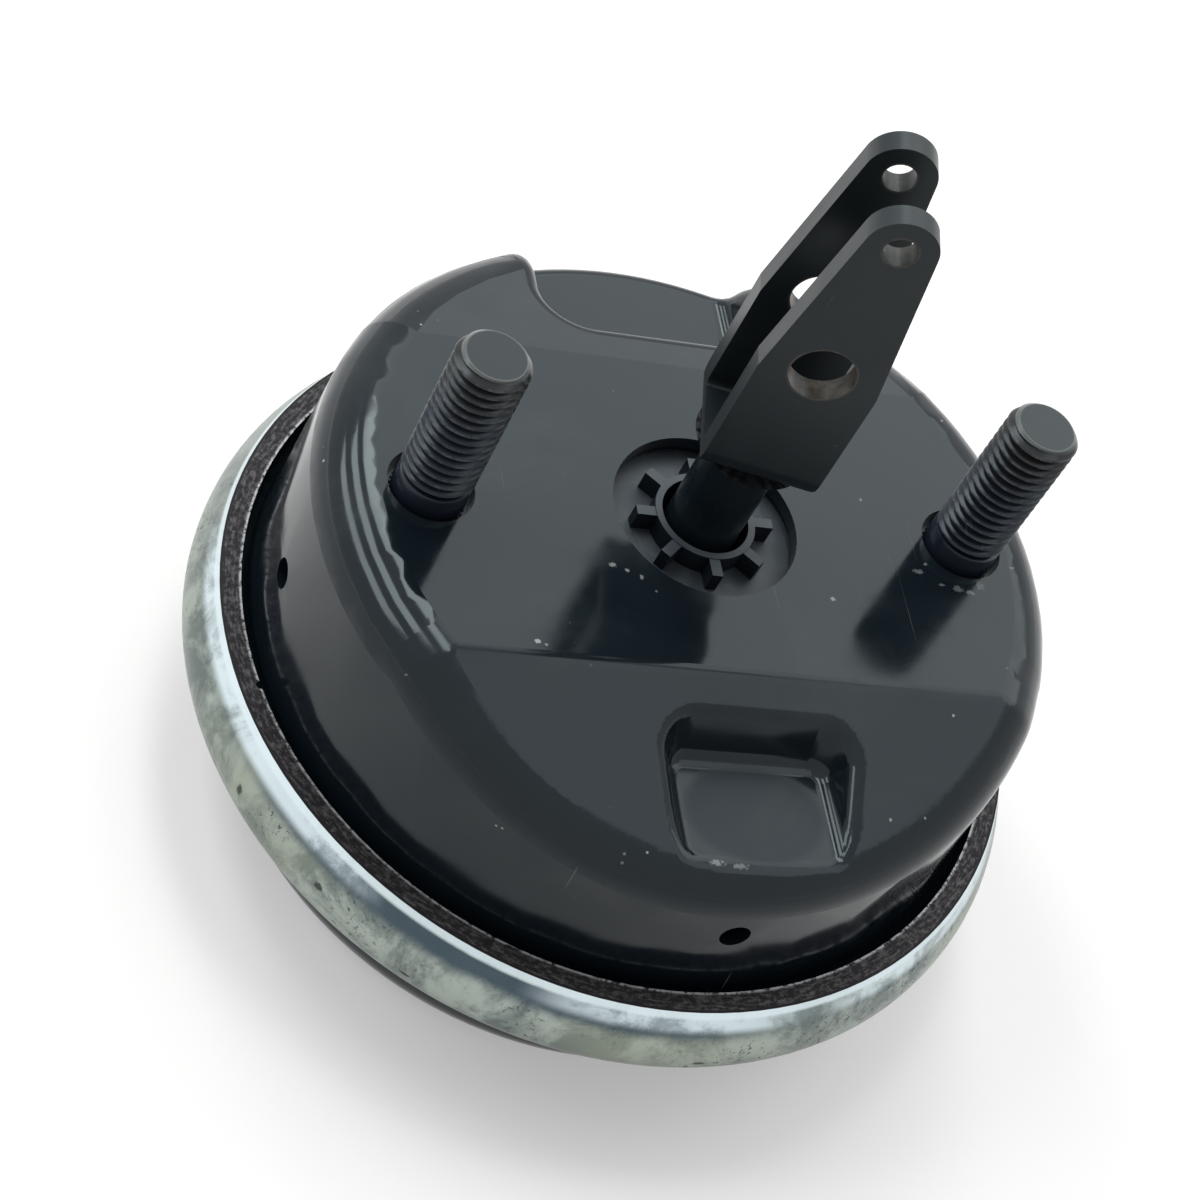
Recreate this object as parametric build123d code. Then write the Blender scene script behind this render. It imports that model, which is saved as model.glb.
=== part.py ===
from build123d import *
import os
from math import atan, atan2, cos, hypot, radians, sin, tan, pi

# All sizes are millimetres. Z runs along the pushrod, the mounting face is at z = 0,
# X runs through both studs.

# Mounting face, studs and their plate
stud_spacing = 120.65
stud_diameter = 15.875
stud_length = 40.0
stud_chamfer = 1.6
stud_head_diameter = 24.0
stud_head_height = 5.5
stud_knurl_diameter = 16.3
stud_hole_diameter = 18.6
mount_plate_thickness = 5.0
mount_plate_edge = 2.4
mount_plate_rail = 2.0
mount_plate_opening = 56.0

# Rolled ring around the three flanges
ring_sheet = 4.2
ring_beyond_stud = 35.175
ring_lean_in = 4.4
ring_top_z = -46.3
ring_shoulder_z = -56.0
ring_lip_width = 10.6
ring_upper_round = 12.0
ring_lower_round = 6.4
ring_gap = 0.4
ring_notch = 2.0
ring_notch_turn = 192.8

# Drawn upper housing
sheet = 3.0
wall_step = 11.3
wall_taper = 2.6
rim_round = 11.0
crease_round = 8.0
front_crease = 40.0
front_slope = 21.0
back_crease = 41.0
back_slope = 5.0
flange_z = -55.5
foot_round = 3.0
centre_opening = 41.2
vent_diameter = 6.5
vent_z = -29.5
vent_turn = 2.0
vent_count = 4

# Recess in the front slope and scoop in the back slope
pocket_floor_z = -14.3
pocket_half_width = 17.7
pocket_length = 24.8
pocket_inset = 5.3
pocket_shift = 4.5
pocket_draft = 20.0
pocket_corner = 4.0
scoop_floor_z = -14.0
scoop_half_width = 24.5
scoop_near = 53.0
scoop_draft = 10.0
scoop_corner = 9.0
recess_foot_round = 3.5
recess_rim_round = 4.0

# Clamped stack and lower housing
bead = 3.5
bead_gap = 1.0
cover_flange_gap = 2.4
cover_step = 12.2
cover_taper = 2.7
cover_foot_z = -93.0
cover_foot_width = 39.1
cover_foot_slope = 6.0
cover_panel_z = -86.0
cover_round = 12.0
diaphragm_sheet = 3.0
diaphragm_gap = 0.4
diaphragm_taper = 2.0
diaphragm_round = 12.0

# Air ports in the lower housing
port_inset = 23.6
port_diameter = 14.6
boss_diameter = 22.0
boss_recess = 0.6
boss_gap = 0.15
port_weld_size = 1.7
plug_gap = 0.05
plug_socket = 8.0
plug_socket_depth = 5.0

# Pushrod, its plate and the return spring
rod_diameter = 15.875
rod_spigot_diameter = 10.0
rod_foot_diameter = 11.0
plate_sheet = 3.0
plate_inset = 30.6
plate_rim = 5.0
plate_weld_size = 5.0
weld_gap = 0.15
wire_diameter = 4.5
spring_inset = 7.0
spring_neck_gap = 0.85
spring_turns = 6.4
spring_closed_turns = 0.8

# Guide in the centre opening and the seat below it
guide_sheet = 3.0
guide_drop = 5.0
guide_radius = 27.2
guide_rim = 5.6
guide_hole = 19.3
guide_collar_wall = 1.5
guide_collar_top = -0.1
rib_count = 8
rib_width = 2.4
rib_top = -0.3
rib_reach = 15.4
seat_sheet = 1.5
seat_radius = 26.5
seat_neck_radius = 17.4
seat_neck_drop = 5.0

# Clevis
clevis_turn = 13.0
clevis_sheet = 5.0
clevis_gap = 15.2
clevis_base_z = 24.5
clevis_bend = 6.5
ear_half_width = 12.3
ear_wide_z = 57.0
ear_tip_radius = 7.2
ear_foot_round = 4.0
pin_hole = 13.1
pin_z = 59.4
small_pin_hole = 6.6
pin_spacing = 34.6
clevis_weld_size = 4.2
rod_end_weld_radius = 5.9
spigot_gap = 0.1


def offset_path(points, distance):
    """Moves an open path sideways, to the right of its direction, by one distance."""
    normals = []
    for (x0, z0), (x1, z1) in zip(points, points[1:]):
        length = hypot(x1 - x0, z1 - z0)
        normals.append(((z1 - z0) / length, -(x1 - x0) / length))
    moved = []
    for i, (x, z) in enumerate(points):
        a = normals[max(i - 1, 0)]
        b = normals[min(i, len(normals) - 1)]
        k = distance / (1 + a[0] * b[0] + a[1] * b[1])
        moved.append((x + k * (a[0] + b[0]), z + k * (a[1] + b[1])))
    return moved


def rounded_edges(points, radii):
    """Lines through the points, with an arc of the given radius at each inner corner."""
    edges = []
    start = points[0]
    for i in range(1, len(points) - 1):
        (x0, z0), (x1, z1), (x2, z2) = points[i - 1], points[i], points[i + 1]
        l1 = hypot(x1 - x0, z1 - z0)
        l2 = hypot(x2 - x1, z2 - z1)
        a = ((x1 - x0) / l1, (z1 - z0) / l1)
        b = ((x2 - x1) / l2, (z2 - z1) / l2)
        turn = atan2(a[0] * b[1] - a[1] * b[0], a[0] * b[0] + a[1] * b[1])
        radius = radii[i - 1]
        cut = radius * tan(abs(turn) / 2)
        first = (x1 - a[0] * cut, z1 - a[1] * cut)
        last = (x1 + b[0] * cut, z1 + b[1] * cut)
        if radius > 0.01:
            rise = radius / cos(turn / 2) - radius
            bisector = (b[0] - a[0], b[1] - a[1])
            size = hypot(*bisector)
            middle = (x1 + bisector[0] / size * rise, z1 + bisector[1] / size * rise)
            edges.append(Line((start[0], 0, start[1]), (first[0], 0, first[1])))
            edges.append(
                ThreePointArc(
                    (first[0], 0, first[1]), (middle[0], 0, middle[1]), (last[0], 0, last[1])
                )
            )
            start = last
        else:
            edges.append(Line((start[0], 0, start[1]), (x1, 0, z1)))
            start = (x1, z1)
    end = points[-1]
    edges.append(Line((start[0], 0, start[1]), (end[0], 0, end[1])))
    return edges


def other_side(points, radii, thickness):
    """The parallel face of a sheet: each bend grows or shrinks by the thickness."""
    moved = offset_path(points, thickness)
    grown = []
    for i, radius in enumerate(radii):
        (x0, z0), (x1, z1), (x2, z2) = points[i], points[i + 1], points[i + 2]
        left = (x1 - x0) * (z2 - z1) - (z1 - z0) * (x2 - x1) > 0
        grown.append(radius + thickness if left else max(radius - thickness, 0))
    return moved, grown


def sheet_section(points, radii, thickness):
    """A bent strip of even thickness, to the right of its path."""
    moved, grown = other_side(points, radii, thickness)
    edges = rounded_edges(points, radii)
    edges.append(Line((points[-1][0], 0, points[-1][1]), (moved[-1][0], 0, moved[-1][1])))
    edges += rounded_edges(moved[::-1], grown[::-1])
    edges.append(Line((moved[0][0], 0, moved[0][1]), (points[0][0], 0, points[0][1])))
    return make_face(edges)


def turned(points):
    """A solid of revolution from a closed outline of radius and height."""
    return revolve(make_face(Polyline(*[(r, 0, z) for r, z in points], close=True)), Axis.Z)


def rod_between(radius, low, high, x=0.0, y=0.0):
    """An upright cylinder between two heights."""
    return Pos(x, y, (low + high) / 2) * Cylinder(radius, high - low)


ring_radius = stud_spacing / 2 + ring_beyond_stud
ring_top_radius = ring_radius - ring_lean_in
ring_lean = atan(ring_lean_in / (ring_top_z - ring_shoulder_z))
wall_foot_radius = ring_radius - wall_step
wall_top_radius = wall_foot_radius - wall_taper
bead_radius = ring_radius - ring_sheet - bead_gap
cover_wall_radius = ring_radius - cover_step
cover_foot_radius = cover_wall_radius - cover_taper
cover_foot_inner = cover_foot_radius - cover_foot_width
cover_panel_radius = cover_foot_inner - cover_foot_slope
port_offset = cover_foot_radius - port_inset
plate_radius = cover_foot_radius - plate_inset
spring_low_radius = plate_radius - spring_inset
spring_top_radius = seat_neck_radius + spring_neck_gap + wire_diameter / 2
pocket_far = wall_top_radius - pocket_inset
pocket_near = pocket_far - pocket_length
past_all = 1.3 * ring_radius


def flange_edge(z):
    """Radius of the upper housing's flange, which leans in under the ring."""
    inside = ring_top_radius - (ring_sheet + ring_gap) / cos(ring_lean)
    return inside + (ring_top_z - z) * tan(ring_lean)


def recess(inset, floor_z, half_width, near, far, draft, corner):
    """A rounded, drafted block that a recess is pressed with, grown by the inset."""
    grow = inset * (1 / cos(radians(draft)) - tan(radians(draft)))
    outline = RectangleRounded(2 * (half_width + grow), far - near + 2 * grow, corner + grow)
    block = extrude(Pos(0, (near + far) / 2) * outline, amount=34, taper=-draft)
    floor = block.edges().group_by(Axis.Z)[0]
    block = fillet(floor, recess_foot_round + inset)
    return Pos(0, 0, floor_z - inset) * block


def press_in(form, block, rim_round):
    """Cuts a recess into the form and rounds the edges where it breaks the surface."""
    skins = (form.shell(), block.shell())
    cut = form - block
    rim = []
    for edge in cut.edges():
        middle = Vertex(*edge.position_at(0.5))
        if all(skin.distance_to(middle) < 0.01 for skin in skins):
            rim.append(edge)
    return fillet(rim, rim_round)


def drawn_form(inset):
    """The outside of the drawn housing, or with an inset, its inside."""
    flange_top = flange_z + sheet
    path = [(0, 0), (wall_top_radius, 0), (wall_foot_radius, flange_top)]
    path += [(flange_edge(flange_top), flange_top), (flange_edge(flange_z - 6), flange_z - 6)]
    radii = [0.0, foot_round, 1.0]
    if inset:
        path, radii = other_side(path, radii, inset)
        path[0] = (0, -inset)
    edges = rounded_edges(path, radii)
    low = path[-1][1]
    edges.append(Line((path[-1][0], 0, low), (0, 0, low)))
    edges.append(Line((0, 0, low), (0, 0, path[0][1])))
    form = revolve(make_face(edges), Axis.Z)
    sides = ((-1, front_crease, front_slope), (1, back_crease, back_slope))
    for side, crease, slope in sides:
        wedge = Pos(0, side * past_all, past_all - inset) * Box(3 * past_all, 3 * past_all, 2 * past_all)
        form -= Pos(0, side * crease, 0) * Rotation(-side * slope, 0, 0) * wedge
    top = form.faces().sort_by(Axis.Z)[-1]
    creases = [e for e in top.edges() if e.geom_type == GeomType.LINE]
    form = fillet(creases, crease_round - inset)
    rim = []
    for edge in form.edges():
        middle = edge.position_at(0.5)
        if middle.Z > flange_z / 2 and hypot(middle.X, middle.Y) > wall_top_radius - inset - 1.5:
            rim.append(edge)
    form = fillet(rim, rim_round - inset)
    far = wall_top_radius + 50
    front = recess(
        inset, pocket_floor_z, pocket_half_width, pocket_near, pocket_far, pocket_draft, pocket_corner
    )
    front = Pos(pocket_shift, 0, 0) * Rotation(0, 0, 180) * front
    back = recess(inset, scoop_floor_z, scoop_half_width, scoop_near, far, scoop_draft, scoop_corner)
    for block in (front, back):
        form = press_in(form, block, recess_rim_round - inset)
    return form


def non_pressure_housing():
    shell = drawn_form(0) - drawn_form(sheet)
    shell &= rod_between(past_all, flange_z, sheet)
    shell -= rod_between(centre_opening / 2, flange_z, past_all)
    for side in (-1, 1):
        shell -= rod_between(stud_hole_diameter / 2, flange_z, past_all, side * stud_spacing / 2)
    for i in range(vent_count):
        drill = Pos(wall_top_radius, 0, vent_z) * Rotation(0, 90, 0) * Cylinder(vent_diameter / 2, 30)
        shell -= Rotation(0, 0, vent_turn + i * 360 / vent_count) * drill
    return shell


def crimp_ring():
    bottom = flange_z - bead - sheet - ring_sheet
    rise = 4.0
    path = [
        (ring_top_radius - rise * tan(ring_lean), ring_top_z + rise),
        (ring_radius, ring_shoulder_z),
        (ring_radius, bottom),
        (ring_radius - ring_lip_width, bottom),
    ]
    ring = revolve(sheet_section(path, [ring_upper_round, ring_lower_round], ring_sheet), Axis.Z)
    ring &= rod_between(past_all, bottom - 1, ring_top_z)
    edge = ring_top_radius - ring_sheet / cos(ring_lean)
    notch = Pos(edge, 0, ring_top_z) * Cylinder(ring_notch / 2, ring_sheet)
    return ring - Rotation(0, 0, ring_notch_turn) * notch


def pressure_housing():
    top = flange_z - bead
    path = [
        (ring_radius - ring_sheet - cover_flange_gap, top - sheet),
        (cover_wall_radius, top - sheet),
        (cover_foot_radius, cover_foot_z),
        (cover_foot_inner, cover_foot_z),
        (cover_panel_radius, cover_panel_z),
        (0, cover_panel_z),
    ]
    cover = revolve(sheet_section(path, [1.5, cover_round, 5.0, 2.0], sheet), Axis.Z)
    for side in (-1, 1):
        radius = boss_diameter / 2 + boss_gap
        cover -= rod_between(radius, cover_foot_z - 2, cover_foot_z + 6, side * port_offset)
    return cover


def diaphragm():
    top = flange_z - bead
    inner = cover_wall_radius - sheet - diaphragm_gap
    bottom = cover_panel_z + sheet
    foot = inner - cover_taper - diaphragm_taper
    path = [(bead_radius, top), (inner, top), (foot, bottom), (0, bottom)]
    skin = revolve(sheet_section(path, [4.5, diaphragm_round], diaphragm_sheet), Axis.Z)
    lip = rod_between(bead_radius, top, flange_z) - rod_between(inner, top - 1, flange_z + 1)
    return skin + lip


plate_z = cover_panel_z + sheet + diaphragm_sheet
plate_top = plate_z + plate_sheet


def push_plate():
    path = [(plate_radius, plate_z + plate_rim), (plate_radius, plate_z), (0, plate_z)]
    plate = revolve(sheet_section(path, [4.0], plate_sheet), Axis.Z)
    return plate - rod_between(rod_foot_diameter / 2 + spigot_gap, plate_z - 1, plate_top + 1)


def pushrod():
    rod = rod_between(rod_diameter / 2, plate_top, clevis_base_z)
    rod += rod_between(rod_foot_diameter / 2, plate_z, plate_top)
    return rod + rod_between(rod_spigot_diameter / 2, clevis_base_z, clevis_base_z + clevis_sheet)


def weld_ring(radius, z, size, down=False):
    """A fillet weld around a round bar, standing on or hanging from a plate."""
    tip = z - size if down else z + size
    r = radius + weld_gap
    return turned([(r, z), (r + size, z), (r + size * 0.45, (z + z + tip) / 3), (r, tip)])


def return_spring():
    seat_z = -guide_drop - guide_sheet - seat_sheet
    low = plate_top + wire_diameter / 2
    high = seat_z - wire_diameter / 2
    turns = spring_turns
    closed = spring_closed_turns
    points = []
    steps = int(turns * 12)
    for i in range(steps + 1):
        t = turns * i / steps
        share = min(max((t - closed) / (turns - 2 * closed), 0), 1)
        ramp = share + 0.07 * sin(2 * pi * share) / (2 * pi)
        lead = wire_diameter * 0.9
        end_low = lead * min(t, closed) / closed
        end_high = lead * min(turns - t, closed) / closed
        z = low + end_low + (high - low - 2 * lead) * ramp + lead - end_high
        radius = spring_low_radius + (spring_top_radius - spring_low_radius) * share
        points.append((radius * cos(2 * pi * t), radius * sin(2 * pi * t), z))
    path = Spline(*points)
    start = Plane(origin=path @ 0, z_dir=path % 0)
    return sweep(start * Circle(wire_diameter / 2), path=path)


def guide_plate():
    top = -guide_drop
    guide = rod_between(guide_radius, top - guide_sheet, top)
    guide += rod_between(guide_radius, top, -sheet) - rod_between(
        guide_radius - guide_rim, top - 1, 0
    )
    hole = guide_hole / 2
    guide += rod_between(hole + guide_collar_wall, top, guide_collar_top)
    for i in range(rib_count):
        reach = rib_reach - hole
        rib = Pos(hole + reach / 2, 0, (top + rib_top) / 2) * Box(reach, rib_width, rib_top - top)
        guide += Rotation(0, 0, i * 360 / rib_count) * rib
    return guide - rod_between(hole, top - guide_sheet - 1, 1)


def spring_seat():
    top = -guide_drop - guide_sheet
    drop = seat_sheet + seat_neck_drop
    path = [(seat_radius, top - seat_sheet), (seat_neck_radius, top - seat_sheet)]
    path.append((seat_neck_radius, top - drop))
    return revolve(sheet_section(path, [0.8], seat_sheet), Axis.Z)


def mounting_plate():
    hole = stud_knurl_diameter / 2 + 0.05
    reach = stud_spacing / 2 + hole + mount_plate_edge
    outline = Rectangle(2 * reach, mount_plate_opening + 2 * mount_plate_rail) & Circle(reach)
    outline -= Circle(mount_plate_opening / 2)
    for side in (-1, 1):
        outline -= Pos(side * stud_spacing / 2, 0) * Circle(hole)
    return extrude(Pos(0, 0, -sheet - mount_plate_thickness) * outline, amount=mount_plate_thickness)


def stud(side):
    x = side * stud_spacing / 2
    seat = -sheet - mount_plate_thickness
    body = rod_between(stud_diameter / 2, -sheet, stud_length, x)
    body = chamfer(body.edges().group_by(Axis.Z)[-1], stud_chamfer)
    body += rod_between(stud_knurl_diameter / 2, seat, -sheet, x)
    return body + rod_between(stud_head_diameter / 2, seat - stud_head_height, seat, x)


def port_boss(side):
    x = side * port_offset
    low = cover_foot_z + boss_recess
    high = cover_panel_z + sheet - 0.4
    boss = rod_between(boss_diameter / 2, low, high, x)
    boss = chamfer(boss.edges().group_by(Axis.Z)[0], 0.6)
    return boss - rod_between(port_diameter / 2, low - 1, high + 1, x)


def port_plug(side):
    x = side * port_offset
    low = cover_foot_z + boss_recess + 0.3
    high = cover_panel_z + sheet - 1.4
    plug = rod_between(port_diameter / 2 - plug_gap, low, high, x)
    hexagon = RegularPolygon(plug_socket / 2, 6, major_radius=False)
    return plug - extrude(Pos(x, 0, low - 1) * hexagon, amount=plug_socket_depth + 1)


def port_weld(side):
    bead_ring = weld_ring(boss_diameter / 2, cover_foot_z + sheet + weld_gap, port_weld_size)
    return Pos(side * port_offset, 0, 0) * bead_ring


def clevis():
    half = clevis_gap / 2 + clevis_sheet
    tip_z = pin_z + pin_spacing
    top = tip_z + ear_tip_radius + 1
    path = [(half, top), (half, clevis_base_z), (-half, clevis_base_z), (-half, top)]
    section = sheet_section(path, [clevis_bend, clevis_bend], clevis_sheet)
    strap = extrude(section, amount=ear_half_width + 2, both=True)
    strap = Rotation(0, 0, 90) * strap
    w = ear_half_width
    reach = hypot(w, tip_z - ear_wide_z)
    lean = atan2(w, tip_z - ear_wide_z)
    side = atan2(ear_tip_radius, (reach**2 - ear_tip_radius**2) ** 0.5)
    angle = lean - side
    touch = (ear_tip_radius * cos(angle), tip_z + ear_tip_radius * sin(angle))
    corners = [(-w, clevis_base_z), (w, clevis_base_z), (w, ear_wide_z), touch]
    corners += [(-touch[0], touch[1]), (-w, ear_wide_z)]
    outline = make_face(Polyline(*corners, close=True))
    outline = fillet(outline.vertices().group_by(Axis.Y)[0], ear_foot_round)
    outline += Pos(0, tip_z) * Circle(ear_tip_radius)
    outline -= Pos(0, pin_z) * Circle(pin_hole / 2)
    outline -= Pos(0, tip_z) * Circle(small_pin_hole / 2)
    blank = extrude(Rotation(90, 0, 0) * outline, amount=half + 2, both=True)
    yoke = strap & blank
    spigot = rod_between(rod_spigot_diameter / 2 + spigot_gap, clevis_base_z - 1, pin_z - pin_hole)
    return Rotation(0, 0, -clevis_turn) * (yoke - spigot)


def clevis_weld():
    return weld_ring(rod_diameter / 2, clevis_base_z, clevis_weld_size, down=True)


def rod_end_weld():
    z = clevis_base_z + clevis_sheet
    r = rod_end_weld_radius
    return turned([(0, z), (r, z), (r * 0.88, z + 1.5), (r * 0.5, z + 2.4), (0, z + 2.6)])


def plate_weld():
    return weld_ring(rod_diameter / 2, plate_top, plate_weld_size)


parts = {
    "non_pressure_housing": non_pressure_housing(),
    "pressure_housing": pressure_housing(),
    "crimp_ring": crimp_ring(),
    "diaphragm": diaphragm(),
    "push_plate": push_plate(),
    "plate_weld": plate_weld(),
    "pushrod": pushrod(),
    "return_spring": return_spring(),
    "spring_seat": spring_seat(),
    "guide_plate": guide_plate(),
    "mounting_plate": mounting_plate(),
    "stud_left": stud(-1),
    "stud_right": stud(1),
    "clevis": clevis(),
    "clevis_weld": clevis_weld(),
    "rod_end_weld": rod_end_weld(),
    "port_boss_left": port_boss(-1),
    "port_boss_right": port_boss(1),
    "port_weld_left": port_weld(-1),
    "port_weld_right": port_weld(1),
    "port_plug": port_plug(1),
}

os.makedirs("parts", exist_ok=True)
for name, solid in parts.items():
    export_step(solid, f"parts/{name}.step")
    print(name, round(solid.volume))
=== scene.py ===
from math import cos, pi, radians, sin

import bpy
from mathutils import Euler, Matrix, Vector


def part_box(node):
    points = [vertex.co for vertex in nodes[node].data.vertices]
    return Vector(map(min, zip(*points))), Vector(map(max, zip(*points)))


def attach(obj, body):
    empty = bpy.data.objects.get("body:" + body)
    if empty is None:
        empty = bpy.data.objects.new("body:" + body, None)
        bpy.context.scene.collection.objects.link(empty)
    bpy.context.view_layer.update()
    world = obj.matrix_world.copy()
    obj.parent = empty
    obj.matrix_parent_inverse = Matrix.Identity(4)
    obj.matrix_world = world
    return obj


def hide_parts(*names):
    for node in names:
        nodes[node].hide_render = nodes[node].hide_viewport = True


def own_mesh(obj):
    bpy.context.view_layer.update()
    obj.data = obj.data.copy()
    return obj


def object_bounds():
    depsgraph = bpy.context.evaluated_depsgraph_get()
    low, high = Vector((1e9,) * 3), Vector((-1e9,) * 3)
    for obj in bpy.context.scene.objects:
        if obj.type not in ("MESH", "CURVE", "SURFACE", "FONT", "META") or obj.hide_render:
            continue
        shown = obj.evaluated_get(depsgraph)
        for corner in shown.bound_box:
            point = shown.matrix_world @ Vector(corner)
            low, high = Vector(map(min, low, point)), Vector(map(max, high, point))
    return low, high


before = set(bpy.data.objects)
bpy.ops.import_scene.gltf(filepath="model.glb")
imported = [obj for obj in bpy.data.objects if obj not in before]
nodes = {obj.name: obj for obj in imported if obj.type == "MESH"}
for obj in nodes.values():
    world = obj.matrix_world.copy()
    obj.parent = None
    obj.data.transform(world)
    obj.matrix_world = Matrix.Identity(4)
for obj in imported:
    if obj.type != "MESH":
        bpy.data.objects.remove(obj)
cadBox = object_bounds()
print("frame loaded:", len(nodes), "nodes")


def deselectAll():
    if bpy.context.object and bpy.context.object.mode != "OBJECT":
        bpy.ops.object.mode_set(mode="OBJECT")
    bpy.ops.object.select_all(action="DESELECT")


def pickOnly(piece):
    deselectAll()
    piece.select_set(True)
    bpy.context.view_layer.objects.active = piece


def editAll(piece):
    pickOnly(piece)
    bpy.ops.object.mode_set(mode="EDIT")
    bpy.ops.mesh.select_mode(type="VERT")
    bpy.ops.mesh.select_all(action="SELECT")


def objectMode():
    bpy.ops.object.mode_set(mode="OBJECT")


def placeInMesh(piece):
    pickOnly(piece)
    bpy.ops.object.transform_apply(location=True, rotation=True, scale=True)


def joinAs(name, parts):
    deselectAll()
    for part in parts:
        part.select_set(True)
    bpy.context.view_layer.objects.active = parts[0]
    bpy.ops.object.join()
    parts[0].name = name
    parts[0].data.name = name
    return parts[0]


def faceOutwards(piece, merge=0.000001):
    editAll(piece)
    bpy.ops.mesh.remove_doubles(threshold=merge)
    bpy.ops.mesh.select_all(action="SELECT")
    bpy.ops.mesh.normals_make_consistent(inside=False)
    objectMode()


def smoothBy(piece, degrees):
    pickOnly(piece)
    bpy.ops.object.shade_smooth_by_angle(angle=radians(degrees))


def trimAt(piece, z, keepBelow):
    editAll(piece)
    bpy.ops.mesh.bisect(
        plane_co=(0, 0, z), plane_no=(0, 0, 1), use_fill=True,
        clear_outer=keepBelow, clear_inner=not keepBelow,
    )
    objectMode()


def newMaterial(name):
    material = bpy.data.materials.new(name)
    material.use_nodes = True
    return material, material.node_tree, material.node_tree.nodes["Principled BSDF"]


def addNode(tree, kind, **settings):
    node = tree.nodes.new(kind)
    for key, value in settings.items():
        setattr(node, key, value)
    return node


def plug(tree, socket, value):
    if isinstance(value, (int, float)):
        socket.default_value = value
    elif isinstance(value, (tuple, list)):
        socket.default_value = (*value, 1.0) if len(socket.default_value) == 4 else value
    else:
        tree.links.new(value, socket)


def objectPlace(tree, scale=(1, 1, 1), turn=(0, 0, 0)):
    coords = addNode(tree, "ShaderNodeTexCoord")
    mapping = addNode(tree, "ShaderNodeMapping")
    mapping.inputs["Rotation"].default_value = turn
    mapping.inputs["Scale"].default_value = scale
    tree.links.new(coords.outputs["Object"], mapping.inputs["Vector"])
    return mapping.outputs["Vector"]


def noise(tree, place, scale, detail=3.0, rough=0.55, distort=0.0):
    node = addNode(tree, "ShaderNodeTexNoise")
    for key, number in zip(("Scale", "Detail", "Roughness", "Distortion"), (scale, detail, rough, distort)):
        node.inputs[key].default_value = number
    tree.links.new(place, node.inputs["Vector"])
    return node.outputs["Fac"]


def cells(tree, place, scale):
    node = addNode(tree, "ShaderNodeTexVoronoi")
    node.inputs["Scale"].default_value = scale
    tree.links.new(place, node.inputs["Vector"])
    return node.outputs["Distance"]


def band(tree, value, low, high, toLow=0.0, toHigh=1.0):
    node = addNode(tree, "ShaderNodeMapRange", interpolation_type="SMOOTHSTEP")
    for key, number in zip(("From Min", "From Max", "To Min", "To Max"), (low, high, toLow, toHigh)):
        node.inputs[key].default_value = number
    tree.links.new(value, node.inputs["Value"])
    return node.outputs["Result"]


def maths(tree, operation, a, b=None):
    node = addNode(tree, "ShaderNodeMath", operation=operation)
    for socket, value in zip(node.inputs, (a, b)):
        if value is not None:
            plug(tree, socket, value)
    return node.outputs["Value"]


def both(tree, a, b):
    return maths(tree, "MULTIPLY", a, b)


def either(tree, a, b):
    return maths(tree, "MAXIMUM", a, b)


def blendColour(tree, share, first, second):
    node = addNode(tree, "ShaderNodeMix", data_type="RGBA")
    for socket, value in ((node.inputs[0], share), (node.inputs[6], first), (node.inputs[7], second)):
        plug(tree, socket, value)
    return node.outputs[2]


def addBump(tree, shader, height, strength, distance, before=None):
    node = addNode(tree, "ShaderNodeBump")
    node.inputs["Strength"].default_value = strength
    node.inputs["Distance"].default_value = distance
    tree.links.new(height, node.inputs["Height"])
    if before is not None:
        tree.links.new(before, node.inputs["Normal"])
    tree.links.new(node.outputs["Normal"], shader.inputs["Normal"])
    return node.outputs["Normal"]


def splitAxes(tree, vector=None):
    split = addNode(tree, "ShaderNodeSeparateXYZ")
    if vector is None:
        vector = addNode(tree, "ShaderNodeTexCoord").outputs["Object"]
    tree.links.new(vector, split.inputs[0])
    return split.outputs["X"], split.outputs["Y"], split.outputs["Z"]


def joinAxes(tree, x, y, z):
    joined = addNode(tree, "ShaderNodeCombineXYZ")
    for socket, value in zip(joined.inputs, (x, y, z)):
        plug(tree, socket, value)
    return joined.outputs[0]


def lengthOf(tree, vector):
    size = addNode(tree, "ShaderNodeVectorMath", operation="LENGTH")
    tree.links.new(vector, size.inputs[0])
    return size.outputs["Value"]


def aroundAxis(tree, scale):
    # angle, radius and height about the chamber's axis, for marks that run round it
    x, y, z = splitAxes(tree)
    angle = maths(tree, "MULTIPLY", maths(tree, "ARCTAN2", y, x), scale[0])
    size = lengthOf(tree, joinAxes(tree, x, y, 0.0))
    across = maths(tree, "MULTIPLY", size, scale[1])
    place = joinAxes(tree, angle, across, maths(tree, "MULTIPLY", z, scale[2]))
    return place, size, z


def distanceFrom(tree, point, stretch=(1, 1, 1)):
    coords = addNode(tree, "ShaderNodeTexCoord")
    shift = addNode(tree, "ShaderNodeVectorMath", operation="SUBTRACT")
    shift.inputs[1].default_value = point
    tree.links.new(coords.outputs["Object"], shift.inputs[0])
    scaled = addNode(tree, "ShaderNodeVectorMath", operation="MULTIPLY")
    scaled.inputs[1].default_value = stretch
    tree.links.new(shift.outputs[0], scaled.inputs[0])
    return lengthOf(tree, scaled.outputs[0])


def towards(tree, turn, inner, outer):
    # 1 within the inner angle of a direction round the axis, 0 beyond the outer one
    x, y, z = splitAxes(tree)
    unit = addNode(tree, "ShaderNodeVectorMath", operation="NORMALIZE")
    tree.links.new(joinAxes(tree, x, y, 0.0), unit.inputs[0])
    along = addNode(tree, "ShaderNodeVectorMath", operation="DOT_PRODUCT")
    tree.links.new(unit.outputs[0], along.inputs[0])
    along.inputs[1].default_value = (cos(radians(turn)), sin(radians(turn)), 0)
    return band(tree, along.outputs["Value"], cos(radians(outer)), cos(radians(inner)))


def facingUp(tree):
    return splitAxes(tree, addNode(tree, "ShaderNodeNewGeometry").outputs["Normal"])[2]


# how finely the scratches lie across, along and up, and how far apart their patches are
scratchLook = {"scale": (1100, 12, 70), "patchScale": 28}


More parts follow.
